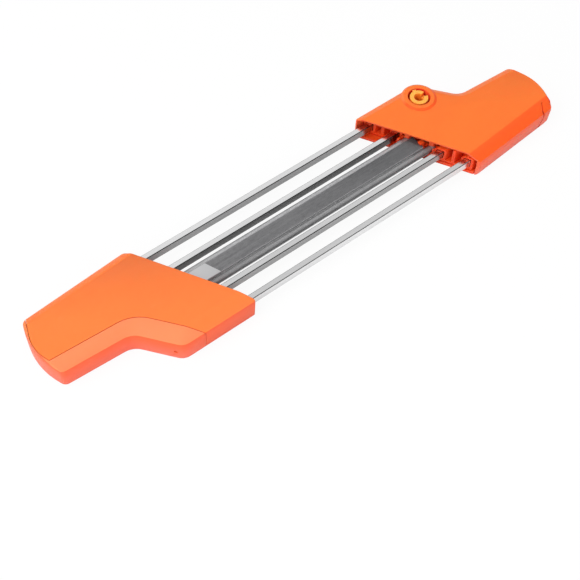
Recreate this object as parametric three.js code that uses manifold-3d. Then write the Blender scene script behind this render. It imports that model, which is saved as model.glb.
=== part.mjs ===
// A two-in-one file guide for chainsaw chains. Two moulded grips are joined by four square guide
// bars, and a flat file and two round files lie between them. X runs along the bars, +Y is the rear
// side and +Z is up. The right grip opens: its cover hinges at the tip on a hook-in bead, and a
// quarter-turn lock holds it down, so that the files can be lifted out. All sizes are millimetres.
import * as THREE from 'three';
import { mergeVertices } from 'three/addons/utils/BufferGeometryUtils.js';
import Module from 'manifold-3d';

const wasm = await Module();
wasm.setup();
const rad = THREE.MathUtils.degToRad;

// Driving dimensions. The files come in one standard length, and what stays outside their seats is
// the span of bar that shows between the grips.
const files = { length: 200, seat: 7 };
const span = files.length - files.seat * 2;
const slant = rad(30);         // filing angle: how far the grips' inner ends lean from square
const lean = Math.tan(slant);
const gripHeight = 18.3;
const gap = 0.3;               // clearance between pieces that seat on each other
const overrun = 2;             // how far a cut runs past the face that it leaves by

// The grips' outline, measured from the middle of the inner end towards the tip. One long side is
// straight and the other steps in to a narrower stretch that the fingers hold.
const grip = {
  rear: 38.3,                  // centre line to the stepped side, beside the bars
  front: 40,                   // centre line to the straight side, at its inner end
  frontAtTip: 34.2,            // and at the tip, where that side has drawn in
  length: 98.8,                // inner end to the tip's corners
  bow: 8.6,                    // how far the tip's middle corner stands past them, before rounding
  bowSide: 11.5,
  step: 32.6, neck: 52.6,      // where the stepped side starts to step in, and where it has
  neckRear: 12.6, tipRear: 10.4,
};
const radii = { rear: 1.4, front: 3, tip: 4.5, bow: 50, neck: 12, step: 9, least: 0.6, share: 0.86 };
const shell = { wall: 2, floor: 2.4, chamfer: 0.8, draft: 0.3, knee: 1.2 };

// How each grip's crown falls to its walls: the sloping band on each side, and how far it drops
const coverCrown = {
  front: 9.6, tip: 2.6, neck: 5.6, step: 5.6, rear: 5.6, frontDrop: 6.3, tipDrop: 4.1, rearDrop: 3.1,
};
const fixedCrown = {
  front: 5.6, tip: 1.8, neck: 10.6, step: 12.8, rear: 11, frontDrop: 3.1, tipDrop: 2.9, rearDrop: 3.2,
};
// The band's section, as shares of its width inwards and of its rise
const crownShares = [[0.05, 0.16], [0.18, 0.33], [0.82, 0.93], [1, 1]];

// Guide bars and files. Their tops are shares of the grips' height.
const bar = { width: 4, height: 6.4, topShare: 0.66, outer: 31.8, inner: 15.4, seat: 22, chamfer: 0.45 };
const flat = { width: 11, thick: 2.8, topShare: 0.645, chamfer: 0.6, reach: 2.7 };
const round = {
  radius: 2.4, beside: 2.1, below: 1, end: 2.1, endLength: 9, collar: 2.55, collarWidth: 1.6,
};
bar.top = gripHeight * bar.topShare;
flat.top = gripHeight * flat.topShare;
const barLow = bar.top - bar.height;
const flatLow = flat.top - flat.thick;
// The flat file goes deeper into the fixed grip than into the other
flat.deep = files.length - span - flat.reach;
// The round files lie beside the flat file and a little lower
round.side = flat.width / 2 + round.beside;
round.centre = flatLow - round.below;

// Bar holders: a pair of square sockets on a foot, with a rib and a screw pillar between them
const holder = {
  setBack: 3, length: 16, wall: 1.3, foot: 1.8, rib: 1.9, ribDrop: 2.4, pillar: 3.1, screwIn: 12.4,
};
const fin = { thick: 1, drop: 2.9, long: 7 };
// In the opening grip the front pair of sockets ends at the mouth and the rear pair further in
const openSetBack = { front: 0.6, rear: 5.6 };
holder.middle = (bar.outer + bar.inner) / 2;
const tunnelHalf = bar.width / 2 + gap;
const socketHalf = tunnelHalf + holder.wall;
const fileHalf = bar.inner - socketHalf - gap;     // half the width left free for the files' seats

// Screws, driven from below
const screw = {
  head: 2.6, headHigh: 0.9, sunk: 0.2, shank: 1.3, length: 9, slot: 0.7, slotHalf: 1.6, slotDeep: 0.5,
};
const shellScrew = { ...screw, head: 2.9, shank: 1.5, length: 11.5 };
const shellBoss = { lower: 4, lowerHigh: 2, upper: 3.3 };
// Where the shells' screws stand, as shares of the grip's length and of its half width
const shellScrewShares = [[0.17, 0.52], [0.63, -0.52], [0.9, -0.29]];
const shellScrewPlaces = shellScrewShares.map(([along, across]) => [
  grip.length * along, grip.front * across,
]);

// The opening grip's tray, and what the cover presses down with
const tray = { sideGap: 0.5, upstand: 3.2, upstandWall: 1.8, rib: 1.4, ribHigh: 2.4 };
const seat = { rib: 2, count: 2, first: 0.8, pitch: 3.6, drop: 1.4 };
const stop = { thick: 2.2, half: 1.5, drop: 1 };
const hook = { y: -2.3, over: 1, thick: 1.2 };      // holds the flat file's end down
const presser = { from: 3.6, long: 2, half: 1.4 };
const mouth = { roof: 1.2, deep: 9, back: 0.5 };    // the cover's roof is thinner at its open end
const coverRib = { wall: 1.4, deep: 2.2 };
const ribShares = [0.58, 0.72, 0.86];              // of the grip's length

// Hook-in hinge at the tip, and the slits that let the tip's wall spring
const hinge = {
  out: 1.6, z: 4.6, bead: 1.5, half: 9, web: 1.5, lug: 4, lugs: 3, lip: 1.5, reach: 6.2, clear: 2.9,
  heel: 1.4,
};
hinge.x = grip.length + hinge.out;
hinge.sweep = hinge.z + gap;  // how far the tip's wall reaches round the bead as it swings
const slit = { width: 1.1, back: 12, sweep: 6.2, drop: 1.2, deep: 8.4, rearBack: 8, rearDrop: 5.8 };
slit.top = gripHeight - slit.drop;
const slitShares = [[1, 1], [0.47, 0.82], [0.52, 0.6], [0, 0]];

// The boss on the cover, its recess, and the quarter-turn lock in it
const boss = { x: 25.8, y: 25.6, radius: 12.4, rise: 1.1, bevel: 1.7 };
const recess = { radius: 7.9, deep: 4.7, floor: 2, wall: 1.6 };
recess.floorTop = gripHeight - recess.deep;
const lock = {
  head: 6.4, proud: 0.6, neck: 4.7, bore: 3.5, finger: 7.5, fingerWide: 2.4, fingerHigh: 2.6,
  at: rad(77), notchFrom: rad(-21), notchTo: rad(16), notchDeep: 3.2,
  lug: 8, lugHigh: 1.6, reach: 7, lugHalf: rad(22), groove: 0.6,
};
lock.headTop = gripHeight + lock.proud;
lock.lugLow = recess.floorTop - lock.reach;
const clip = { thick: 0.7, outer: 6.5, mouthHalf: rad(25) };
const claw = { finger: 1.4, inner: 6.3, wall: 1.8, half: rad(25), clear: 0.6 };
claw.at = lock.at - rad(90);

// A small drain hole in the fixed grip's stepped wall
const drain = { radius: 1.3, z: 7.4, share: 0.17, long: 8 };

// Facets round a full turn
const facets = { fine: 40, arc: 30, plain: 24, small: 16 };
const turn = Math.PI * 2;
const weld = 0.00001;          // corners closer than this are one

function paint(color, roughness, metalness = 0) {
  return new THREE.MeshStandardMaterial({ color, roughness, metalness });
}
const orange = () => paint(0xff8844, 0.55);
const amber = () => paint(0xffb446, 0.45);
const chrome = () => paint(0xd8dadc, 0.12, 1);
const fileSteel = () => paint(0x6e7072, 0.5, 1);
const zinc = () => paint(0xb4b6b8, 0.35, 1);

// A closed three.js geometry becomes a solid
function solid(geometry) {
  const bare = geometry.clone();
  bare.deleteAttribute('normal');
  bare.deleteAttribute('uv');
  const merged = mergeVertices(bare, weld);
  const index = merged.index.array;
  const faces = [];
  for (let i = 0; i < index.length; i += 3) {
    const [a, b, c] = index.slice(i, i + 3);
    if (a !== b && b !== c && c !== a) faces.push(a, b, c);
  }
  return new wasm.Manifold(new wasm.Mesh({
    numProp: 3,
    vertProperties: new Float32Array(merged.attributes.position.array),
    triVerts: new Uint32Array(faces),
  }));
}

// A solid becomes a named mesh
function piece(name, body, material) {
  const { vertProperties, triVerts } = body.getMesh();
  const geometry = new THREE.BufferGeometry();
  geometry.setAttribute('position', new THREE.BufferAttribute(new Float32Array(vertProperties), 3));
  geometry.setIndex(new THREE.BufferAttribute(new Uint32Array(triVerts), 1));
  geometry.computeVertexNormals();
  const mesh = new THREE.Mesh(geometry, material);
  mesh.name = name;
  return mesh;
}

const joined = (solids) => solids.reduce((all, next) => all.add(next));
const times = (count, make) => Array.from({ length: count }, (_, k) => make(k));

function block([x0, x1], [y0, y1], [z0, z1]) {
  const box = new THREE.BoxGeometry(x1 - x0, y1 - y0, z1 - z0);
  return solid(box.translate((x0 + x1) / 2, (y0 + y1) / 2, (z0 + z1) / 2));
}

function prism(points, [z0, z1]) {
  const shape = new THREE.Shape(points.map(([x, y]) => new THREE.Vector2(x, y)));
  const geometry = new THREE.ExtrudeGeometry(shape, { depth: z1 - z0, bevelEnabled: false });
  return solid(geometry.translate(0, 0, z0));
}

// A block whose ends follow the slant of a grip's inner end
function slantBlock([x0, x1], [y0, y1], heights) {
  const corner = (x, y) => [x - y * lean, y];
  return prism([corner(x0, y0), corner(x1, y0), corner(x1, y1), corner(x0, y1)], heights);
}

// An outline in the XZ plane, drawn out along Y
function profileAlongY(points, [y0, y1]) {
  const shape = new THREE.Shape(points.map(([x, z]) => new THREE.Vector2(x, z)));
  const geometry = new THREE.ExtrudeGeometry(shape, { depth: y1 - y0, bevelEnabled: false });
  return solid(geometry.rotateX(Math.PI / 2).translate(0, y1, 0));
}

// An outline in the YZ plane, drawn out along X
function profileAlongX(points, [x0, x1]) {
  const shape = new THREE.Shape(points.map(([y, z]) => new THREE.Vector2(y, z)));
  const geometry = new THREE.ExtrudeGeometry(shape, { depth: x1 - x0, bevelEnabled: false });
  return solid(geometry.rotateX(Math.PI / 2).rotateZ(Math.PI / 2).translate(x0, 0, 0));
}

function post(radius, [x, y], [z0, z1], sides = facets.plain) {
  const cylinder = new THREE.CylinderGeometry(radius, radius, z1 - z0, sides);
  return solid(cylinder.rotateX(Math.PI / 2).translate(x, y, (z0 + z1) / 2));
}

function lathe(profile, sides = facets.plain) {
  return new THREE.LatheGeometry(profile.map(([r, h]) => new THREE.Vector2(r, h)), sides);
}

// A sector of a ring about a point
function sector([r0, r1], [from, to], [x, y], heights) {
  const steps = Math.ceil((to - from) / turn * facets.arc);
  const arc = (r) => times(steps + 1, (k) => {
    const angle = from + (to - from) * k / steps;
    return [x + r * Math.cos(angle), y + r * Math.sin(angle)];
  });
  return prism([...arc(r1), ...arc(r0).reverse()], heights);
}

// The outline's corners, counter-clockwise from the inner end of the stepped side. Each names the
// edge that leaves it, its rounding, and which drop of the crown it follows.
const corners = [
  { x: -grip.rear * lean, y: grip.rear, r: radii.rear, edge: 'end', drop: 'rearDrop', steps: 4 },
  { x: grip.front * lean, y: -grip.front, r: radii.front, edge: 'front', drop: 'frontDrop', steps: 4 },
  { x: grip.length, y: -grip.frontAtTip, r: radii.tip, edge: 'tip', drop: 'frontDrop', steps: 6 },
  { x: grip.length + grip.bow, y: -grip.bowSide, r: radii.bow, edge: 'tip', drop: 'tipDrop', steps: 8 },
  { x: grip.length, y: grip.tipRear, r: radii.tip, edge: 'neck', drop: 'rearDrop', steps: 6 },
  { x: grip.neck, y: grip.neckRear, r: radii.neck, edge: 'step', drop: 'rearDrop', steps: 6 },
  { x: grip.step, y: grip.rear, r: radii.step, edge: 'rear', drop: 'rearDrop', steps: 6 },
];
const edges = ['end', 'front', 'tip', 'neck', 'step', 'rear'];
const allEdges = (distance) => Object.fromEntries(edges.map((edge) => [edge, distance]));

// The outline with each edge moved inwards by its own distance and the corners rounded again
function outline(insets) {
  const count = corners.length;
  const lines = corners.map((c, i) => {
    const next = corners[(i + 1) % count];
    const length = Math.hypot(next.x - c.x, next.y - c.y);
    const dx = (next.x - c.x) / length;
    const dy = (next.y - c.y) / length;
    const inset = insets[c.edge];
    return { x: c.x - dy * inset, y: c.y + dx * inset, dx, dy, inset };
  });
  const turns = corners.map((c, i) => {
    const a = lines[(i + count - 1) % count];
    const b = lines[i];
    const cross = a.dx * b.dy - a.dy * b.dx;
    const along = ((b.x - a.x) * b.dy - (b.y - a.y) * b.dx) / cross;
    const angle = Math.atan2(cross, a.dx * b.dx + a.dy * b.dy);
    const side = Math.sign(angle);
    const r = Math.max(c.r - side * (a.inset + b.inset) / 2, radii.least);
    return { x: a.x + a.dx * along, y: a.y + a.dy * along, a, angle, side, r };
  });
  const reach = turns.map((t, i) => {
    const next = turns[(i + 1) % count];
    return Math.hypot(next.x - t.x, next.y - t.y);
  });
  return turns.flatMap(({ x, y, a, angle, side, r }, i) => {
    const half = Math.tan(Math.abs(angle) / 2);
    const room = Math.min(reach[i], reach[(i + count - 1) % count]) * radii.share;
    const back = Math.min(r * half, room);
    const radius = back / half;
    const cx = x - a.dx * back - a.dy * radius * side;
    const cy = y - a.dy * back + a.dx * radius * side;
    const start = Math.atan2(-a.dx * side, a.dy * side);
    const { steps, drop } = corners[i];
    return times(steps + 1, (k) => {
      const at = start + angle * k / steps;
      return { x: cx + radius * Math.cos(at), y: cy + radius * Math.sin(at), drop };
    });
  });
}

const plate = (insets, heights) => prism(outline(insets).map(({ x, y }) => [x, y]), heights);

// A closed solid through rings that have the same number of points
function loft(rings) {
  const count = rings[0].length;
  const index = [];
  for (let level = 0; level + 1 < rings.length; level++) {
    for (let k = 0; k < count; k++) {
      const a = level * count + k;
      const b = level * count + (k + 1) % count;
      index.push(a, b, b + count, a, b + count, a + count);
    }
  }
  const flatRing = (ring) => ring.map(({ x, y }) => new THREE.Vector2(x, y));
  const last = (rings.length - 1) * count;
  for (const [a, b, c] of THREE.ShapeUtils.triangulateShape(flatRing(rings[0]), [])) index.push(a, c, b);
  for (const [a, b, c] of THREE.ShapeUtils.triangulateShape(flatRing(rings.at(-1)), [])) {
    index.push(last + a, last + b, last + c);
  }
  const geometry = new THREE.BufferGeometry();
  const positions = rings.flat().flatMap(({ x, y, z }) => [x, y, z]);
  geometry.setAttribute('position', new THREE.Float32BufferAttribute(positions, 3));
  geometry.setIndex(index);
  return solid(geometry);
}

// A grip's crowned body, or with a thickness the space inside a shell of that thickness
function crownedBody(crown, low, thickness, endInset) {
  const top = gripHeight - thickness;
  const wallTop = (p) => gripHeight - crown[p.drop] - thickness / 2;
  const ring = (bandShare, wallInset, z) => {
    const inset = (edge) => thickness + wallInset + (crown[edge] ?? 0) * bandShare;
    const insets = Object.fromEntries(edges.map((edge) => [edge, inset(edge)]));
    return outline({ ...insets, end: endInset }).map((p) => ({ ...p, z: z(p) }));
  };
  const foot = thickness === 0
    ? [ring(0, shell.chamfer, () => low), ring(0, shell.draft, () => low + shell.chamfer)]
    : [ring(0, 0, () => low)];
  const rise = (up) => (p) => wallTop(p) + (top - wallTop(p)) * up;
  const band = crownShares.map(([inwards, up]) => ring(inwards, 0, rise(up)));
  return loft([...foot, ring(0, 0, (p) => wallTop(p) - shell.knee), ...band]);
}

// A screw standing head down, with a crossed slot in its head
function screwBody(size) {
  const bevel = size.headHigh / 2;
  const body = solid(lathe([
    [0, 0], [size.head - bevel, 0], [size.head, bevel], [size.head, size.headHigh],
    [size.shank, size.headHigh], [size.shank, size.length - size.shank], [0, size.length],
  ], facets.small).rotateX(Math.PI / 2));
  const arm = [-size.slotHalf, size.slotHalf];
  const half = [-size.slot / 2, size.slot / 2];
  const deep = [-overrun, size.slotDeep];
  return body.subtract(block(arm, half, deep).add(block(half, arm, deep)));
}

function placedScrew(name, size, [x, y]) {
  const mesh = piece(name, screwBody(size), zinc());
  mesh.position.set(x, y, size.sunk);
  return mesh;
}

// The bores that a screw needs in a floor and in what stands on it
function screwBores(size, place) {
  const sink = size.sunk + size.headHigh + gap;
  const deep = size.sunk + size.length + gap;
  return post(size.head + gap, place, [-overrun, sink], facets.small)
    .add(post(size.shank + gap, place, [-overrun, deep], facets.small));
}

const holderScrewPlace = (side, setBack) => {
  const y = side * holder.middle;
  return [setBack + holder.screwIn - y * lean, y];
};
const openSides = [[1, openSetBack.rear], [-1, openSetBack.front]];
const fixedSides = [[1, holder.setBack], [-1, holder.setBack]];
const sidewards = (side, a, b) => (side > 0 ? [a, b] : [-b, -a]);

// The arch of a bar's socket, with its top edges broken and its ends on the slant
function arch(y, setBack, low, more) {
  const half = socketHalf + more;
  const top = bar.top + gap + holder.wall + more;
  const shoulder = top - holder.wall;
  const crown = half - holder.wall;
  const section = [
    [-half, low], [half, low], [half, shoulder], [crown, top], [-crown, top], [-half, shoulder],
  ];
  const long = profileAlongX(section.map(([w, z]) => [y + w, z]), [-grip.length, grip.length]);
  return long.intersect(slantBlock([setBack - more, setBack + holder.length + more],
    [-grip.length, grip.length], [0, gripHeight]));
}

// The holder for the two bars on one side of a grip. Under the cover each outer socket has a fin.
function barHolder([side, setBack], fins) {
  const low = shell.floor + gap;
  const ends = [setBack, setBack + holder.length];
  const slab = (y0, y1, high, along) => slantBlock(along, sidewards(side, y0, y1), [low, high]);
  const upright = (y, thick, drop, along) => slab(y - thick / 2, y + thick / 2, gripHeight - drop, along);
  const bars = [bar.inner, bar.outer];
  const tunnels = bars.map((y) => block([-grip.length, grip.length],
    sidewards(side, y - tunnelHalf, y + tunnelHalf), [barLow - gap, bar.top + gap]));
  return joined([
    ...bars.map((y) => arch(side * y, setBack, low, 0)),
    slab(bar.inner, bar.outer, low + holder.foot, ends),
    upright(holder.middle, holder.rib, holder.ribDrop, ends),
    ...(fins ? [upright(bar.outer, fin.thick, fin.drop, [setBack, setBack + fin.long])] : []),
    post(holder.pillar, holderScrewPlace(side, setBack), [low, bar.top]),
  ]).subtract(joined(tunnels)).subtract(screwBores(screw, holderScrewPlace(side, setBack)));
}

// The room that the files take up, from the inner end to a depth, straight up out of it if open
function fileRoom(depth, flatDepth, open) {
  const out = grip.front;
  const half = flat.width / 2 + gap;
  const high = open ? gripHeight : flat.top + gap;
  const rooms = [block([-out, flatDepth], [-half, half], [flatLow - gap, high])];
  for (const y of [round.side, -round.side]) {
    const r = round.radius + gap;
    const end = depth - y * lean;
    const bore = new THREE.CylinderGeometry(r, r, end + out, facets.small).rotateZ(Math.PI / 2);
    rooms.push(solid(bore.translate((end - out) / 2, y, round.centre)));
    if (open) rooms.push(block([-out, end], [y - r, y + r], [round.centre, high]));
  }
  return joined(rooms);
}

const barRoom = () => joined([bar.outer, bar.inner, -bar.inner, -bar.outer].map((y) => slantBlock(
  [-overrun, shell.wall + overrun], [y - tunnelHalf, y + tunnelHalf], [barLow - gap, bar.top + gap])));

// Fixed grip: the seam between its two shells runs along the crown's band, and crosses the wall
// beside the bars
const seamRegion = (more, heights) => plate({
  end: -overrun - more, front: -overrun - more, rear: -overrun - more,
  tip: shell.wall + gap - more, neck: fixedCrown.neck - more, step: fixedCrown.step - more,
}, heights);

function fixedShell() {
  const space = crownedBody(fixedCrown, shell.floor, shell.wall, shell.wall);
  return crownedBody(fixedCrown, 0, 0, 0).subtract(space);
}

function drainHole() {
  const [c, d] = [corners[6], corners[5]];
  const x = c.x + (d.x - c.x) * drain.share;
  const y = c.y + (d.y - c.y) * drain.share;
  const across = Math.atan2(c.x - d.x, d.y - c.y) + Math.PI;
  const bore = new THREE.CylinderGeometry(drain.radius, drain.radius, drain.long, facets.small);
  return solid(bore.rotateZ(across + Math.PI / 2).translate(x, y, drain.z));
}

function lowerShell() {
  const bosses = shellScrewPlaces.map((place) => post(shellBoss.lower, place,
    [shell.floor / 2, shell.floor + shellBoss.lowerHigh]));
  const bores = [
    ...shellScrewPlaces.map((place) => screwBores(shellScrew, place)),
    ...fixedSides.map(([side, setBack]) => screwBores(screw, holderScrewPlace(side, setBack))),
  ];
  return fixedShell().subtract(seamRegion(gap, [shell.floor, gripHeight + overrun]))
    .add(joined(bosses)).subtract(joined(bores)).subtract(drainHole());
}

function upperShell() {
  const region = seamRegion(0, [shell.floor + gap, gripHeight + overrun]);
  const low = shell.floor + shellBoss.lowerHigh + gap;
  const heights = [low, gripHeight - shell.wall / 2];
  const bosses = shellScrewPlaces.map((place) => post(shellBoss.upper, place, heights));
  const bores = shellScrewPlaces.map((place) => screwBores(shellScrew, place));
  const through = shell.wall + grip.front * lean;
  return fixedShell().intersect(region).add(joined(bosses)).subtract(joined(bores))
    .subtract(barRoom()).subtract(fileRoom(through, through, false));
}

// The block in the fixed grip that takes the files' ends
function fileSocket() {
  const start = (shell.wall + gap) / Math.cos(slant);
  const back = files.seat + round.side * lean + stop.thick;
  const corner = (y) => [start - y * lean, y];
  const body = prism([corner(-fileHalf), [back, -fileHalf], [back, fileHalf], corner(fileHalf)],
    [shell.floor + gap, flat.top + gap + shell.wall]);
  return body.subtract(fileRoom(files.seat + gap, flat.deep + gap, false));
}

// Opening grip: the tray that the bars are fixed in and the files lie in
function trayBody() {
  const side = shell.wall + tray.sideGap;
  const insets = { ...allEdges(side), end: 0 };
  const rimTop = shell.floor + tray.upstand;
  const inside = { ...allEdges(side + tray.upstandWall), end: -overrun };
  const holderEnd = openSetBack.rear + holder.length + gap;
  const wide = grip.front + overrun;
  const rim = plate(insets, [0, rimTop]).subtract(plate(inside, [shell.floor, rimTop + overrun]))
    .subtract(slantBlock([-wide, holderEnd], [-wide, wide], [shell.floor, rimTop + overrun]));
  const innards = plate({ ...allEdges(side + tray.upstandWall / 2), end: 0 }, [0, gripHeight]);
  const seats = joined(times(seat.count, (k) => {
    const x = seat.first + k * seat.pitch;
    return slantBlock([x, x + seat.rib], [-fileHalf, fileHalf], [0, flat.top - seat.drop]);
  }));
  const stopAt = (x, y, top) => block([x, x + stop.thick], [y - stop.half, y + stop.half], [0, top]);
  const hookLow = flat.top + gap;
  const hookEnd = flat.reach + gap;
  const stops = joined([
    ...[round.side, -round.side].map((y) => stopAt(files.seat + gap - y * lean, y, flat.top - stop.drop)),
    stopAt(hookEnd, hook.y, hookLow + hook.thick),
    block([flat.reach - hook.over, hookEnd + stop.thick], [hook.y - stop.half, hook.y + stop.half],
      [hookLow, hookLow + hook.thick]),
  ]);
  const ribs = joined(ribShares.map((share) => grip.length * share).map((x) => block([x, x + tray.rib],
    [-grip.front, grip.rear], [0, shell.floor + tray.ribHigh]))).intersect(innards);
  const claws = joined([claw.at, claw.at + Math.PI].map(clawBody));
  const bores = openSides.map(([s, setBack]) => screwBores(screw, holderScrewPlace(s, setBack)));
  const seatRoom = fileRoom(files.seat + gap, files.seat + gap, true);
  return rim.add(seats.subtract(seatRoom)).add(stops).add(ribs).add(claws)
    .subtract(hingeRoom()).add(hingeLugs()).subtract(joined(bores));
}

// A hook on the tray that a lug of the lock turns under
function clawBody(at) {
  const inner = lock.lug + claw.clear;
  const range = [at - claw.half, at + claw.half];
  const low = lock.lugLow + lock.lugHigh + gap;
  const high = low + claw.finger;
  return sector([inner, inner + claw.wall], range, [boss.x, boss.y], [0, high])
    .add(sector([claw.inner, inner + claw.wall], range, [boss.x, boss.y], [low, high]));
}

const hingeSides = (more) => [-grip.bowSide - hinge.half - more, -grip.bowSide + hinge.half + more];

// The tray stops short of the tip, where the cover's wall swings
const hingeRoom = () => block([hinge.x - hinge.sweep, grip.length + grip.bow + overrun],
  [-grip.front, grip.rear], [-overrun, gripHeight]);

// The lugs that wrap the bead from inside
function hingeLugs() {
  const seatRadius = hinge.bead + gap;
  const top = hinge.z + seatRadius + hinge.lip;
  const back = hinge.x - hinge.reach;
  const profile = [
    [back, 0], [hinge.x - hinge.clear, 0], [hinge.x - hinge.clear, hinge.z], [hinge.x, hinge.z],
    [hinge.x, top], [back + hinge.lip, top], [back, top - hinge.lip],
  ];
  const pitch = (hinge.half * 2 - hinge.lug) / (hinge.lugs - 1);
  const lugs = times(hinge.lugs, (k) => {
    const y = -grip.bowSide - hinge.half + pitch * k;
    return profileAlongY(profile, [y, y + hinge.lug]);
  });
  return joined(lugs).subtract(rodAlongY(seatRadius, hingeSides(overrun)));
}

function rodAlongY(radius, [y0, y1]) {
  const rod = new THREE.CylinderGeometry(radius, radius, y1 - y0, facets.small);
  return solid(rod.translate(hinge.x, (y0 + y1) / 2, hinge.z));
}

// Opening grip: the cover
function coverBody() {
  const top = gripHeight + boss.rise;
  const middle = [boss.x, boss.y];
  const mound = solid(lathe([
    [0, recess.floorTop], [boss.radius, recess.floorTop], [boss.radius, gripHeight],
    [boss.radius - boss.bevel, top], [0, top],
  ], facets.fine).rotateX(Math.PI / 2).translate(boss.x, boss.y, 0));
  const low = recess.floorTop - recess.floor;
  const under = gripHeight - shell.wall;
  const well = post(recess.radius + recess.wall, middle, [low, under + shell.wall / 2], facets.fine);
  const space = crownedBody(coverCrown, -overrun, shell.wall, -grip.front * lean);
  const wide = [shell.wall - grip.front, grip.rear - shell.wall];
  const thinner = crownedBody(coverCrown, -overrun, mouth.roof, -grip.front * lean)
    .intersect(slantBlock([-overrun, mouth.deep], wide, [flat.top, gripHeight]));
  const pressers = joined([round.side, -round.side].map((y) => slantBlock(
    [presser.from, presser.from + presser.long], [y - presser.half, y + presser.half],
    [round.centre + round.radius + gap, gripHeight - mouth.roof / 2])));
  const mouthBack = slantBlock([-overrun, mouth.back], wide, [flat.top, top + overrun]);
  const ribs = joined(ribShares.map((share) => grip.length * share).map((x) => block([x, x + coverRib.wall],
    [-grip.front, grip.rear], [under - coverRib.deep, gripHeight])))
    .intersect(crownedBody(coverCrown, 0, shell.wall / 2, 0));
  const arches = joined(openSides.flatMap(([side, setBack]) => [bar.inner, bar.outer].map((y) => arch(
    side * y, setBack, -overrun, gap))));
  return crownedBody(coverCrown, 0, 0, 0).add(mound).subtract(space).subtract(thinner)
    .subtract(mouthBack).add(well).add(pressers).add(ribs)
    .subtract(post(recess.radius, middle, [recess.floorTop, top + overrun], facets.fine))
    .subtract(post(lock.neck + gap, middle, [low - overrun, top], facets.fine))
    .subtract(arches).subtract(tipRelief()).add(hingeBead()).subtract(slits());
}

// The tip's wall stops short of the surface that the grip lies on, so that it can swing out
const tipRelief = () => block([hinge.x - hinge.reach, grip.length + grip.bow + overrun],
  [-grip.front, grip.rear], [-overrun, hinge.heel]);

function hingeBead() {
  const sides = hingeSides(0);
  const heights = [hinge.z - hinge.web / 2, hinge.z + hinge.web / 2];
  const web = block([hinge.x, grip.length + grip.bow], sides, heights)
    .intersect(plate(allEdges(shell.wall / 2), [0, gripHeight]));
  return rodAlongY(hinge.bead, sides).add(web);
}

// A winding slit up the straight side, and a plain one up the stepped side
function slits() {
  const x = grip.length - slit.back;
  const at = ([along, up], offset) => [x + slit.sweep * along + offset, slit.top * up];
  const half = slit.width / 2;
  const left = slitShares.map((p) => at(p, -half));
  const right = slitShares.map((p) => at(p, half)).reverse();
  const foot = [[x - half, -overrun], [x + half, -overrun]];
  const front = profileAlongY([...left, ...foot, ...right].reverse(),
    [-grip.front, -grip.frontAtTip + slit.deep]);
  const rearX = grip.length - slit.rearBack;
  const rear = block([rearX - half, rearX + half], [grip.tipRear - slit.deep / 2, grip.rear],
    [-overrun, gripHeight - slit.rearDrop]);
  return front.add(rear);
}

// The lock: a C-shaped head in the recess, a neck through its floor, and two lugs below
function lockBody() {
  const middle = [boss.x, boss.y];
  const headLow = recess.floorTop + gap;
  const column = post(lock.head, middle, [headLow, lock.headTop], facets.fine)
    .add(post(lock.neck, middle, [lock.lugLow, headLow + lock.groove], facets.fine));
  const lugs = [lock.at, lock.at + Math.PI].map((at) => sector([lock.bore, lock.lug],
    [at - lock.lugHalf, at + lock.lugHalf], middle, [lock.lugLow, lock.lugLow + lock.lugHigh]));
  const halfWide = Math.asin(lock.fingerWide / 2 / lock.head);
  const finger = sector([lock.bore, lock.finger], [lock.at - halfWide, lock.at + halfWide], middle,
    [lock.headTop - lock.fingerHigh, lock.headTop]);
  const notch = sector([lock.neck - lock.bore, lock.head + overrun], [lock.notchFrom, lock.notchTo], middle,
    [lock.headTop - lock.notchDeep, lock.headTop + overrun]);
  const grooved = [lock.neck - lock.groove, lock.neck + overrun];
  const groove = joined([[0, turn / 2], [turn / 2, turn]].map((half) => sector(grooved, half, middle,
    clipRange(gap / 2))));
  return column.add(joined(lugs)).add(finger).subtract(notch).subtract(groove)
    .subtract(post(lock.bore, middle, [lock.lugLow - overrun, lock.headTop + overrun], facets.fine));
}

// The heights of the clip's groove, or of the clip
function clipRange(more) {
  const high = recess.floorTop - recess.floor - gap;
  return [high - clip.thick - more, high + more];
}

const clipBody = () => sector([lock.neck - lock.groove + gap, clip.outer],
  [lock.at + clip.mouthHalf, lock.at + turn - clip.mouthHalf], [boss.x, boss.y], clipRange(0));

// A guide bar: a square section with its long edges broken
function barBody() {
  const half = bar.width / 2;
  const c = bar.chamfer;
  const [low, high] = [barLow, bar.top];
  const reach = span / 2 + bar.seat;
  return profileAlongX([
    [-half + c, low], [half - c, low], [half, low + c], [half, high - c],
    [half - c, high], [-half + c, high], [-half, high - c], [-half, low + c],
  ], [-reach, reach]);
}

function flatFileBody() {
  const half = flat.width / 2;
  const c = flat.chamfer;
  return profileAlongX([
    [-half + c, flatLow], [half - c, flatLow], [half, flatLow + c], [half, flat.top - c],
    [half - c, flat.top], [-half + c, flat.top], [-half, flat.top - c], [-half, flatLow + c],
  ], [-files.length / 2, files.length / 2]);
}

// A round file: the cut length, a collar and a smooth end
function roundFileBody() {
  const cut = files.length - round.endLength;
  const chamfer = round.radius - round.end;
  return solid(lathe([
    [0, 0], [round.end, 0], [round.radius, chamfer], [round.radius, cut],
    [round.collar, cut], [round.collar, cut + round.collarWidth], [round.end, cut + round.collarWidth],
    [round.end, files.length], [0, files.length],
  ]).rotateZ(-Math.PI / 2).translate(-files.length / 2, 0, 0));
}

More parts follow.
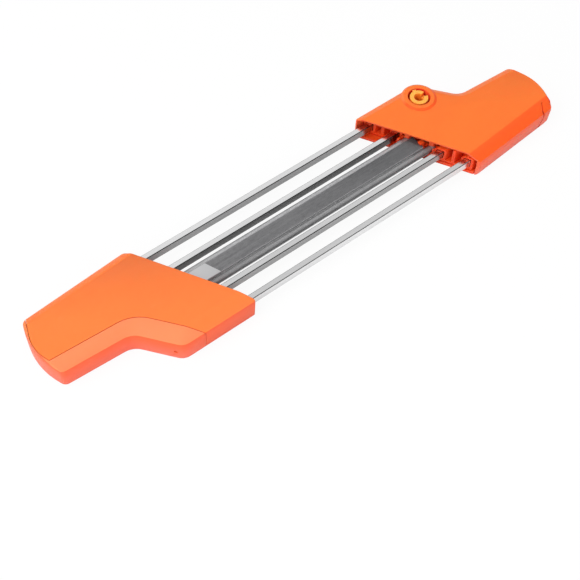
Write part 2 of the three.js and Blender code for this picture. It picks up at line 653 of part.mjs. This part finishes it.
function buildBars() {
  const group = new THREE.Group();
  for (const [side, label] of [[1, 'rear'], [-1, 'front']]) {
    for (const [name, place] of [['outer', bar.outer], ['inner', bar.inner]]) {
      const mesh = piece(`${name}_guide_bar_${label}`, barBody(), chrome());
      mesh.position.set(-side * place * lean, side * place, 0);
      group.add(mesh);
    }
    const file = piece(`round_file_${label}`, roundFileBody(), fileSteel());
    file.position.set(-side * round.side * lean, side * round.side, round.centre);
    group.add(file);
  }
  const flatFile = piece('flat_file', flatFileBody(), fileSteel());
  flatFile.position.x = flat.reach - files.seat;
  group.add(flatFile);
  return group;
}

function buildHolders(name, sides, labels, fins) {
  const group = new THREE.Group();
  sides.forEach(([side, setBack], k) => {
    group.add(piece(`${name}_bar_holder_${labels[k]}`, barHolder([side, setBack], fins), orange()));
    group.add(placedScrew(`${name}_holder_screw_${labels[k]}`, screw, holderScrewPlace(side, setBack)));
  });
  return group;
}

function buildFixedGrip() {
  // Turned half round, this grip's stepped side is its front
  const group = buildHolders('left', fixedSides, ['front', 'rear'], false);
  group.add(piece('left_lower_shell', lowerShell(), orange()));
  group.add(piece('left_upper_shell', upperShell(), orange()));
  group.add(piece('left_file_socket', fileSocket(), orange()));
  shellScrewPlaces.forEach((place, k) => {
    group.add(placedScrew(`left_shell_screw_${k + 1}`, shellScrew, place));
  });
  group.rotation.z = Math.PI;
  group.position.x = -span / 2;
  return group;
}

function buildOpeningGrip() {
  const group = buildHolders('right', openSides, ['rear', 'front'], true);
  group.add(piece('right_tray', trayBody(), orange()));
  group.add(piece('right_cover', coverBody(), orange()));
  group.add(piece('lock_ring', lockBody(), amber()));
  group.add(piece('lock_clip', clipBody(), zinc()));
  group.position.x = span / 2;
  return group;
}

const fileGuide = new THREE.Group();
fileGuide.add(buildBars(), buildFixedGrip(), buildOpeningGrip());

export default fileGuide;
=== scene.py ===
"""Materials, cut teeth, light and camera for a two-in-one file guide for saw chains.

Sizes are in metres, but for the camera's."""
import math
import bpy
from mathutils import Matrix, Vector


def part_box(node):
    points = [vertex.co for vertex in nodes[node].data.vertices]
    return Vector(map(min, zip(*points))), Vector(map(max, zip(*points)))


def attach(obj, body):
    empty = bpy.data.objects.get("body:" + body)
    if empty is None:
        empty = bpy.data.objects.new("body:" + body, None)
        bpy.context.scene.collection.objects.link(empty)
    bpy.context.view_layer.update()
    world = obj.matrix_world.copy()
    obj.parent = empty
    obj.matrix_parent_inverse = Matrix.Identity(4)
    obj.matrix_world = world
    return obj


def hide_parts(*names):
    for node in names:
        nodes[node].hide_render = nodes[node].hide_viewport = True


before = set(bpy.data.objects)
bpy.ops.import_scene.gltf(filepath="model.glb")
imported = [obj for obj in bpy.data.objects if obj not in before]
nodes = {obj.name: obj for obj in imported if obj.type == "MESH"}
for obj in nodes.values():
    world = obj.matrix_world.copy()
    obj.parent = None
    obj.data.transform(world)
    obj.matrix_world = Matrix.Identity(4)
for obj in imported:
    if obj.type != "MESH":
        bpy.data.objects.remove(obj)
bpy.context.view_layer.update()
scene = bpy.context.scene
scene.view_settings.view_transform = "Standard"

PHOTO_WIDTH = 580               # pixels
SENSOR_WIDTH = 36               # mm


def add_object(name, data):
    thing = bpy.data.objects.new(name, data)
    scene.collection.objects.link(thing)
    return thing


def add_camera():
    """A camera that was fitted to the edges and corners of the photograph."""
    focal_pixels = 1124.579
    azimuth, elevation, roll = (math.radians(angle) for angle in (41.862, 56.313, -4.016))
    offset = Vector((11.429, 46.109, 737.716)) / 1000
    right = Vector((math.cos(azimuth), -math.sin(azimuth), 0))
    up = Vector((math.sin(azimuth) * math.sin(elevation), math.cos(azimuth) * math.sin(elevation),
                 math.cos(elevation)))
    look = right.cross(up) * -1
    turned_right = right * math.cos(roll) - up * math.sin(roll)
    turned_up = right * math.sin(roll) + up * math.cos(roll)
    place = -offset.x * turned_right - offset.y * turned_up - offset.z * look
    data = bpy.data.cameras.new("camera")
    data.sensor_width = SENSOR_WIDTH
    data.lens = focal_pixels / PHOTO_WIDTH * SENSOR_WIDTH
    data.clip_start = 0.01
    columns = (turned_right, turned_up, -look, place)
    camera = add_object("camera", data)
    rows = [[column[row] for column in columns] for row in range(3)]
    camera.matrix_world = Matrix([*rows, [0, 0, 0, 1]])
    scene.camera = camera


add_camera()


class Shade:
    """A node material that is put together a node at a time."""

    def __init__(self, name, color, roughness, metallic=0.0):
        self.material = bpy.data.materials.new(name)
        self.material.use_nodes = True
        self.tree = self.material.node_tree
        self.shader = self.tree.nodes["Principled BSDF"]
        self.set("Base Color", (*color, 1))
        self.set("Roughness", roughness)
        self.set("Metallic", metallic)
        coordinates = self.add("ShaderNodeTexCoord").outputs
        self.place = coordinates["Object"]
        self.normal = coordinates["Normal"]

    def set(self, socket, value):
        self.shader.inputs[socket].default_value = value

    def add(self, kind, **settings):
        node = self.tree.nodes.new(kind)
        for key, value in settings.items():
            if key in node.inputs:
                node.inputs[key].default_value = value
            else:
                setattr(node, key, value)
        return node

    def link(self, source, target):
        self.tree.links.new(source, target)

    def into(self, socket, source):
        self.link(source, self.shader.inputs[socket])

    def split(self, vector):
        """The three parts of a vector output."""
        node = self.add("ShaderNodeSeparateXYZ")
        self.link(vector, node.inputs[0])
        return node.outputs

    def stretched(self, scale, turn=0.0):
        """The place in the part, for a pattern that is stretched and turned in plan."""
        node = self.add("ShaderNodeMapping", Scale=scale, Rotation=(0, 0, turn))
        self.link(self.place, node.inputs["Vector"])
        return node.outputs["Vector"]

    def noise(self, scale, detail, vector=None, roughness=0.5):
        node = self.add("ShaderNodeTexNoise", Scale=scale, Detail=detail, Roughness=roughness)
        self.link(vector or self.place, node.inputs["Vector"])
        return node.outputs["Fac"]

    def ramp(self, value, *stops):
        """A level from 0 to 1 that follows a value by (value, level) stops."""
        node = self.add("ShaderNodeValToRGB")
        elements = node.color_ramp.elements
        while len(elements) < len(stops):
            elements.new(0.5)
        for element, (at, level) in zip(elements, stops):
            element.position = at
            element.color = (level, level, level, 1)
        self.link(value, node.inputs["Fac"])
        return node.outputs["Color"]

    def math(self, operation, *values):
        node = self.add("ShaderNodeMath", operation=operation)
        for socket, value in zip(node.inputs, values):
            if isinstance(value, (int, float)):
                socket.default_value = value
            else:
                self.link(value, socket)
        return node.outputs[0]

    def mix(self, factor, a, b):
        node = self.add("ShaderNodeMix", data_type="RGBA")
        for index, value in ((0, factor), (6, a), (7, b)):
            if isinstance(value, tuple):
                node.inputs[index].default_value = (*value, 1)
            elif isinstance(value, (int, float)):
                node.inputs[index].default_value = value
            else:
                self.link(value, node.inputs[index])
        return node.outputs[2]

    def bump(self, height, distance, strength, before=None):
        node = self.add("ShaderNodeBump", Distance=distance, Strength=strength)
        self.link(height, node.inputs["Height"])
        if before is not None:
            self.link(before, node.inputs["Normal"])
        return node.outputs["Normal"]

    def creases(self, reach):
        """1 in narrow gaps and inner corners, 0 on open faces: the mask of a painted shade."""
        node = self.add("ShaderNodeAmbientOcclusion", samples=8, Distance=reach)
        return self.ramp(node.outputs["AO"], (0.45, 1.0), (0.93, 0.0))

    def soft_edges(self, radius):
        """The surface's direction with its sharp edges rounded off, and a mask of those edges."""
        bevel = self.add("ShaderNodeBevel", samples=4, Radius=radius).outputs["Normal"]
        plain = self.add("ShaderNodeNewGeometry").outputs["True Normal"]
        dot = self.add("ShaderNodeVectorMath", operation="DOT_PRODUCT")
        self.link(bevel, dot.inputs[0])
        self.link(plain, dot.inputs[1])
        return bevel, self.ramp(dot.outputs["Value"], (0.8, 1.0), (0.985, 0.0))


PATCHES = (0.3, 0.0), (0.72, 1.0)       # of a noise: broad patches
# masks for the painted light and shade by facing, and for the painted floor reflection at a wall's foot
REARWARD = (0.0, 0.0), (0.25, 1.0)      # of a direction's rearward part: front slopes, then rear ones
SLOPING = (0.35, 0.0), (0.6, 1.0)       # of a direction's upward part: walls, then slopes
LEVEL = (0.93, 0.0), (0.975, 1.0)       # of a direction's upward part: slopes, then level faces
FOOT = (0.0015, 1.0), (0.0095, 0.0)     # of the height: a wall's foot, then the wall
FINE_GAPS = 0.0007                      # the reach that suits small pieces and narrow ribs


def moulded(name, tones, roughness, reach=0.002):
    """Injection-moulded plastic: a fine even grain, faint flow marks and edges worn paler.

    The tones are those of level faces, slopes to the front and to the rear, walls, and the walls' foot.
    The slopes' and walls' tones are painted light and shade for how each face turns to the lamps,
    and the foot's paler, pinker tone is a painted reflection of the white floor.
    The reach is how wide a gap or corner gets painted shade."""
    level, front, rear, wall, foot = tones
    s = Shade(name, level, roughness)
    s.set("Specular IOR Level", 0.42)
    s.set("Subsurface Weight", 0.25)
    s.set("Subsurface Radius", (1.0, 0.2, 0.08))
    s.set("Subsurface Scale", 0.003)
    _, rearward, upward = s.split(s.normal)
    height = s.split(s.place)[2]
    flow = s.ramp(s.noise(26, 3, s.stretched((1, 2.4, 1), 0.4)), *PATCHES)
    flat = s.mix(flow, tuple(c * 0.95 for c in level), level)
    # painted light and shade: each face takes the tone for how it turns to the lamps, and a wall's foot
    # takes a paler painted reflection of the floor
    slope_light_and_shade = s.mix(s.ramp(rearward, *REARWARD), front, rear)
    wall_shade_and_floor_reflection = s.mix(s.ramp(height, *FOOT), wall, foot)
    painted_light_by_facing = s.mix(s.ramp(upward, *SLOPING), wall_shade_and_floor_reflection, slope_light_and_shade)
    tone = s.mix(s.ramp(upward, *LEVEL), painted_light_by_facing, flat)

    turned, edge = s.soft_edges(0.0004)
    rubbed_and_highlit = s.ramp(s.noise(120, 6, roughness=0.65), (0.62, 0.0), (0.78, 1.0))
    patchy = s.math("MULTIPLY", edge, s.ramp(s.noise(210, 4), (0.35, 0.25), (0.65, 1.0)))
    worn = s.math("MAXIMUM", s.math("MULTIPLY", rubbed_and_highlit, 0.2), s.math("MULTIPLY", patchy, 0.35))
    pale = tuple(min(1, c * 1.1 + 0.04) for c in level)
    # painted shade: gaps and inner corners darken towards this deep tone
    deep = (wall[0] * 0.95, wall[1] * 0.15, wall[2] * 0.2)
    gaps = s.math("MULTIPLY", s.creases(reach), 0.85)
    s.into("Base Color", s.mix(gaps, s.mix(worn, tone, pale), deep))
    s.into("Roughness", s.math("MULTIPLY_ADD", s.noise(340, 4), 0.12, roughness - 0.06))
    wave = s.bump(s.noise(45, 2), 0.0008, 0.1, turned)
    s.into("Normal", s.bump(s.noise(2600, 2), 0.00006, 0.35, wave))
    return s.material


def drawn_steel(name, tones, roughness):
    """Bright drawn bar: long fine streaks along X and a little haze.

    The tones are those of its top and foot, its sides, and the rounded edges between them:
    painted reflections of the studio and the shaded floor, which differ from bar to bar."""
    s = Shade(name, (tones[0],) * 3, roughness, 1.0)
    sideways = s.math("ABSOLUTE", s.split(s.normal)[1])
    streaks = s.noise(900, 3, s.stretched((0.012, 1, 1)))
    haze = s.noise(70, 4, s.stretched((0.18, 1, 1)))
    mask = s.ramp(haze, (0.32, 0.0), (0.72, 1.0))
    # painted reflections: the top, the sides and the rounded edges each take their own tone
    top, side_reflection, edge = (s.mix(mask, (t * 0.86, t * 0.86, t * 0.865), (t, t, t * 1.005)) for t in tones)
    face = s.mix(s.ramp(sideways, (0.4, 0.0), (0.8, 1.0)), top, side_reflection)
    edge_reflection_mask = s.ramp(sideways, (0.35, 0.0), (0.5, 1.0), (0.9, 1.0), (0.97, 0.0))
    s.into("Base Color", s.mix(edge_reflection_mask, face, edge))
    s.into("Roughness", s.math("MULTIPLY_ADD", haze, 0.16, roughness - 0.06))
    s.into("Normal", s.bump(streaks, 0.00003, 0.35, s.soft_edges(0.0001)[0]))
    return s.material


ROUND_CUT_END = 0.101           # along X, where the round files' teeth end
FLAT_CUT_END = -0.0766          # along X, where the flat file's teeth end
CUT_LEAN = 0.417                # how far the flat file's teeth lean across it
BARE_STEEL = 0.62, 0.62, 0.63


class FileSteel(Shade):
    """The hardened grey of cut teeth, brighter where filings wore them, with bare smooth ends."""

    def __init__(self, name, dark, bright):
        super().__init__(name, (0.2, 0.2, 0.2), 0.42, 0.62)
        self.x, self.y, self.z = self.split(self.place)
        blotch = self.ramp(self.noise(38, 5, self.stretched((0.3, 1.6, 1))), *PATCHES)
        specks = self.noise(620, 5, self.stretched((0.5, 1, 1), -0.4), 0.7)
        self.specks = self.ramp(specks, (0.36, 0.0), (0.66, 1.0))
        streaks = self.ramp(self.noise(700, 3, self.stretched((0.02, 1, 1))), (0.35, 0.0), (0.65, 1.0))
        grain = self.math("MULTIPLY_ADD", streaks, 0.3, self.math("MULTIPLY", self.specks, 0.3))
        tones = ((tone, tone, tone + 0.005) for tone in (dark, bright))
        self.cut = self.mix(self.math("MULTIPLY_ADD", blotch, 0.4, grain), *tones)

    def finished(self, bare):
        """The material, once the mask of its bare faces is known."""
        self.into("Base Color", self.mix(bare, self.cut, BARE_STEEL))
        self.into("Roughness", self.math("MULTIPLY_ADD", bare, -0.14, 0.46))
        self.into("Normal", self.bump(self.noise(1500, 3), 0.00005, 0.4))
        return self.material


def flat_file_steel():
    """Its sides are bare steel in a pale tone that also paints light into the shaded gaps beside them,
    and its teeth are darker towards the opening grip.
    """
    s = FileSteel("flat_file_steel", 0.14, 0.3)
    darker_towards_grip = s.ramp(s.math("ADD", s.x, 0.1), (0.03, 0.0), (0.17, 0.4))
    s.cut = s.mix(darker_towards_grip, s.cut, (0.03, 0.03, 0.032))
    end = s.math("LESS_THAN", s.math("MULTIPLY_ADD", s.y, CUT_LEAN, s.x), FLAT_CUT_END)
    # the pale sides: bare steel, and partly painted light over the shade in the gaps beside the round
    # files
    sideways = s.math("ABSOLUTE", s.split(s.normal)[1])
    return s.finished(s.math("MAXIMUM", end, s.math("GREATER_THAN", sideways, 0.5)))


def round_file_steel(name, highlight_height=None):
    """Above the height given, its teeth are painted pale in speckles: a painted highlight along the
    file's top.
    """
    s = FileSteel(name, 0.24, 0.42)
    if highlight_height is not None:
        # painted highlight: the teeth above this height are painted pale, in speckles
        rubbed_and_highlit = s.ramp(s.z, (highlight_height, 0.0), (highlight_height + 0.0006, 1.0))
        speckled_highlight = s.math("MULTIPLY", rubbed_and_highlit, s.math("MULTIPLY_ADD", s.specks, 0.4, 0.6))
        s.cut = s.mix(speckled_highlight, s.cut, (0.72, 0.72, 0.73))
    return s.finished(s.math("GREATER_THAN", s.x, ROUND_CUT_END))


# Tones by facing are painted light and shade, as set out in moulded(). The left grip's shells carry
# paler tones than the cover: painted light, for the brighter light on that grip.
cover = moulded("cover_plastic", (
    (0.93, 0.172, 0.014), (0.93, 0.1, 0.004), (0.93, 0.2, 0.045),
    (0.86, 0.105, 0.03), (0.85, 0.15, 0.09)), 0.42)
upper = moulded("upper_shell_plastic", (
    (0.93, 0.195, 0.034), (0.93, 0.19, 0.04), (0.93, 0.19, 0.04),
    (0.86, 0.1, 0.02), (0.86, 0.115, 0.04)), 0.42)
lower = moulded("lower_shell_plastic", (
    (0.93, 0.23, 0.085), (0.93, 0.215, 0.08), (0.93, 0.18, 0.04),
    (0.86, 0.1, 0.022), (0.86, 0.125, 0.06)), 0.42)
# painted shade: the tray, holders and file socket are the grips' orange plastic, painted deep red for
# the shade inside the grips
inner = moulded("inner_plastic", (
    (0.9, 0.085, 0.012), (0.9, 0.07, 0.01), (0.9, 0.07, 0.01),
    (0.9, 0.06, 0.01), (0.9, 0.07, 0.012)), 0.45, FINE_GAPS)
amber = moulded("lock_plastic", (
    (1.0, 0.43, 0.06), (1.0, 0.32, 0.04), (1.0, 0.4, 0.06),
    (1.0, 0.3, 0.03), (1.0, 0.3, 0.03)), 0.32, FINE_GAPS)
# painted reflections: each bar's tones for top, sides and edges; the rear bars' sides are darker, as if
# mirroring shaded floor and files, and the front outer bar's sides lighter, as if mirroring the open
# floor
bar_reflection_tones = {
    "outer_guide_bar_rear": (0.92, 0.36, 0.1), "inner_guide_bar_rear": (0.88, 0.26, 0.06),
    "inner_guide_bar_front": (0.76, 0.42, 0.1), "outer_guide_bar_front": (0.74, 0.88, 0.3),
}
zinc = drawn_steel("zinc_screws", (0.61, 0.61, 0.61), 0.32)
# the height above which the rear round file takes a painted highlight
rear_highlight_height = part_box("round_file_rear")[1][2] - 0.0016
finish = {
    "flat_file": flat_file_steel(),
    "round_file_front": round_file_steel("front_round_file_steel"),
    "round_file_rear": round_file_steel("rear_round_file_steel", rear_highlight_height),
    "lock_ring": amber, "lock_clip": drawn_steel("spring_steel", (0.4, 0.4, 0.4), 0.3),
    "right_tray": inner, "left_file_socket": inner,
    "right_cover": cover, "left_upper_shell": upper, "left_lower_shell": lower,
}
for bar, tones in bar_reflection_tones.items():
    finish[bar] = drawn_steel(bar + "_chrome", tones, 0.16)


def rounded_shading():
    """A modifier that smooths the shading across edges that turn less than 32 degrees.

    The CAD meshes come with normals of their own and with doubled points, so it first drops the one
    and joins the other. The meshes themselves stay as they are."""
    group = bpy.data.node_groups.new("smooth_by_angle", "GeometryNodeTree")
    for direction in ("INPUT", "OUTPUT"):
        group.interface.new_socket("Geometry", in_out=direction, socket_type="NodeSocketGeometry")
    add, link = group.nodes.new, group.links.new
    source, target = add("NodeGroupInput"), add("NodeGroupOutput")
    drop = add("GeometryNodeRemoveAttribute")
    drop.inputs["Name"].default_value = "custom_normal"
    merge = add("GeometryNodeMergeByDistance")
    merge.inputs["Distance"].default_value = 0.000002
    angle = add("GeometryNodeInputMeshEdgeAngle")
    compare = add("FunctionNodeCompare")
    compare.operation = "LESS_THAN"
    compare.inputs[1].default_value = math.radians(32)
    faces, smooth_edges = add("GeometryNodeSetShadeSmooth"), add("GeometryNodeSetShadeSmooth")
    faces.domain = "FACE"
    smooth_edges.domain = "EDGE"
    link(source.outputs[0], drop.inputs["Geometry"])
    link(drop.outputs[0], merge.inputs["Geometry"])
    link(merge.outputs[0], faces.inputs["Geometry"])
    link(faces.outputs[0], smooth_edges.inputs["Geometry"])
    link(angle.outputs["Unsigned Angle"], compare.inputs[0])
    link(compare.outputs[0], smooth_edges.inputs["Shade Smooth"])
    link(smooth_edges.outputs[0], target.inputs[0])
    return group


smooth = rounded_shading()


def shade_smoothly(piece):
    piece.modifiers.new("smooth_by_angle", "NODES").node_group = smooth


for name, node in nodes.items():
    if "screw" in name:
        material = zinc
    elif "holder" in name:
        material = inner
    else:
        material = finish[name]
    node.data.materials.clear()
    node.data.materials.append(material)
    shade_smoothly(node)


def new_piece(node, points, faces):
    """A piece in mesh code that stands for a file of the fixed frame."""
    name = node + "_cut"
    mesh = bpy.data.meshes.new(name)
    mesh.from_pydata(points, [], faces)
    mesh.update()
    mesh.materials.append(finish[node])
    piece = add_object(name, mesh)
    shade_smoothly(piece)
    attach(piece, "frame")
    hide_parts(node)


def bridge(first, second, count):
    """Faces between two closed rings of points."""
    corners = [(j, (j + 1) % count) for j in range(count)]
    return [(first + a, first + b, second + b, second + a) for a, b in corners]


def cut_flat_file():
    """The flat file with its slanting rows of cut teeth, a smooth tang and a square end."""
    low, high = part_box("flat_file")
    chamfer = 0.00008
    half_width = (high[1] - low[1]) / 2
    level_half = half_width - chamfer
    deep, pitch, rise = 0.0002, 0.00092, 0.72       # rise: the share of a pitch that it takes
    last = high[0] - 0.0026
    sections = [(low[0], 0.0, 0.0), (FLAT_CUT_END, 0.0, CUT_LEAN)]  # place along X, depth of cut, lean
    x = FLAT_CUT_END + 0.0004
    while x < last - pitch:
        sections += [(x, deep, CUT_LEAN), (x + pitch * rise, 0.0, CUT_LEAN)]
        x += pitch
    sections += [(last, 0.0, CUT_LEAN), (high[0], 0.0, 0.0)]
    points = []
    for x, sunk, lean in sections:
        top, foot = high[2] - sunk, low[2] + sunk
        outline = ((-half_width, foot + chamfer), (-half_width, top - chamfer),
                   (-level_half, top), (level_half, top),
                   (half_width, top - chamfer), (half_width, foot + chamfer),
                   (level_half, foot), (-level_half, foot))
        points += [(x - y * lean, y, z) for y, z in outline]
    count = len(outline)
    faces = [tuple(range(count))[::-1], tuple(range(len(points) - count, len(points)))]
    for k in range(len(sections) - 1):
        faces += bridge(k * count, (k + 1) * count, count)
    new_piece("flat_file", points, [face[::-1] for face in faces])  # turned to face outward


def cut_round_file(node):
    """A round file with one spiral cut, a collar and a smooth end."""
    low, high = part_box(node)
    axis_y, axis_z = ((low[k] + high[k]) / 2 for k in (1, 2))
    radius, collar, shank, around = 0.0024, 0.00255, 0.0021, 24
    deep, pitch, fall = 0.00013, 0.00084, 0.7       # fall: the share of a pitch that it takes
    start, end = low[0] + 0.0012, high[0] - 0.009
    points, faces = [], []

    def corner(j, x, r):
        angle = 2 * math.pi * j / around
        points.append((x, axis_y + r * math.cos(angle), axis_z + r * math.sin(angle)))

    def plain_ring(x, r):
        for j in range(around):
            corner(j, x, r)

    def spiral_ring(x, r):
        """A turn of the spiral, cut off at the toothed length's ends and full there."""
        for j in range(around):
            place = min(max(x + pitch * j / around, start), end)
            corner(j, place, radius if place in (start, end) else r)

    plain_ring(low[0], 0.0019)
    plain_ring(low[0] + 0.0005, shank)
    x = start - 3 * pitch
    while x < end + pitch:
        spiral_ring(x, radius)
        spiral_ring(x + pitch * fall, radius - deep)
        x += pitch
    spiral_end = len(points) // around
    collar_end = end + 0.0016
    for x, r in ((end, collar), (collar_end, collar), (collar_end, shank),
                 (high[0] - 0.0004, shank), (high[0], 0.0017)):
        plain_ring(x, r)
    rings = len(points) // around
    for k in range(rings - 1):
        here, after = k * around, (k + 1) * around
        if k < 2 or k >= spiral_end - 1:
            faces += bridge(here, after, around)
            continue
        faces += [(a, a + 1, a + 1 + around, a + around) for a in range(here, after - 1)]
        if k + 3 < spiral_end:      # the last point of a turn joins the next turn's first
            faces.append((after - 1, (k + 2) * around, (k + 3) * around, after + around - 1))
    faces += [tuple(range(around))[::-1], tuple(range((rings - 1) * around, rings * around))]
    new_piece(node, points, faces)


cut_flat_file()
cut_round_file("round_file_front")
cut_round_file("round_file_rear")


def background_share(tree, seen, mirrored):
    """How much plain white the background shows to the camera, and to metal that mirrors it."""
    path = tree.nodes.new("ShaderNodeLightPath")
    total = None
    for ray, weight in (("Is Camera Ray", seen), ("Is Glossy Ray", mirrored),
                        ("Is Transmission Ray", mirrored)):
        node = tree.nodes.new("ShaderNodeMath")
        node.operation = "MULTIPLY_ADD"
        node.inputs[1].default_value = weight
        node.inputs[2].default_value = 0.0
        tree.links.new(path.outputs[ray], node.inputs[0])
        if total is not None:
            tree.links.new(total, node.inputs[2])
        total = node.outputs[0]
    return total


def add_floor():
    """A white floor: the camera sees it near white, and it keeps a soft shadow."""
    half = 3.0
    corners = [(-half, -half, 0), (half, -half, 0), (half, half, 0), (-half, half, 0)]
    mesh = bpy.data.meshes.new("floor")
    mesh.from_pydata(corners, [], [(0, 1, 2, 3)])
    floor = add_object("floor", mesh)
    floor.location.z = -0.0002      # just clear of the grips' undersides
    material = bpy.data.materials.new("floor")
    material.use_nodes = True
    tree = material.node_tree
    tree.nodes.clear()
    output = tree.nodes.new("ShaderNodeOutputMaterial")
    plain = tree.nodes.new("ShaderNodeBsdfDiffuse")
    plain.inputs["Color"].default_value = (0.86, 0.86, 0.86, 1)
    glow = tree.nodes.new("ShaderNodeEmission")
    glow.inputs["Strength"].default_value = 1.0
    mix = tree.nodes.new("ShaderNodeMixShader")
    link = tree.links.new
    link(background_share(tree, 0.92, 0.2), mix.inputs[0])
    link(plain.outputs[0], mix.inputs[1])
    link(glow.outputs[0], mix.inputs[2])
    link(mix.outputs[0], output.inputs[0])
    mesh.materials.append(material)


def add_world():
    """A studio that is brighter overhead and to the rear than low down and in front."""
    world = bpy.data.worlds.new("studio")
    scene.world = world
    world.use_nodes = True
    tree = world.node_tree
    back = tree.nodes["Background"]
    back.inputs["Strength"].default_value = 1.0
    place = tree.nodes.new("ShaderNodeTexCoord")
    dot = tree.nodes.new("ShaderNodeVectorMath")
    dot.operation = "DOT_PRODUCT"
    dot.inputs[1].default_value = (0.05, 0.25, 0.967)
    ramp = tree.nodes.new("ShaderNodeValToRGB")
    for element, (at, level) in zip(ramp.color_ramp.elements, ((0.15, 0.3), (0.95, 0.86))):
        element.position = at
        element.color = (level, level, level, 1)
    white = tree.nodes.new("ShaderNodeMix")
    white.data_type = "RGBA"
    white.inputs[7].default_value = (1, 1, 1, 1)
    link = tree.links.new
    link(place.outputs["Generated"], dot.inputs[0])
    link(dot.outputs["Value"], ramp.inputs[0])
    link(background_share(tree, 1.0, 0.1), white.inputs[0])
    link(ramp.outputs[0], white.inputs[6])
    link(white.outputs[2], back.inputs["Color"])


def add_lamp(name, place, size, power):
    """A round lamp that points at the part's middle and isn't mirrored in the bars."""
    data = bpy.data.lights.new(name, "AREA")
    data.shape = "DISK"
    data.size = size
    data.energy = power
    lamp = add_object(name, data)
    lamp.location = place
    lamp.rotation_euler = (-Vector(place)).to_track_quat("-Z", "Y").to_euler()
    lamp.visible_glossy = False


add_floor()
add_world()
add_lamp("key", (-0.95, 0.15, 1.15), 1.1, 13)
add_lamp("fill", (-0.1, -1.2, 0.6), 1.0, 6)
add_lamp("low", (-1.2, -0.3, 0.32), 0.6, 3)
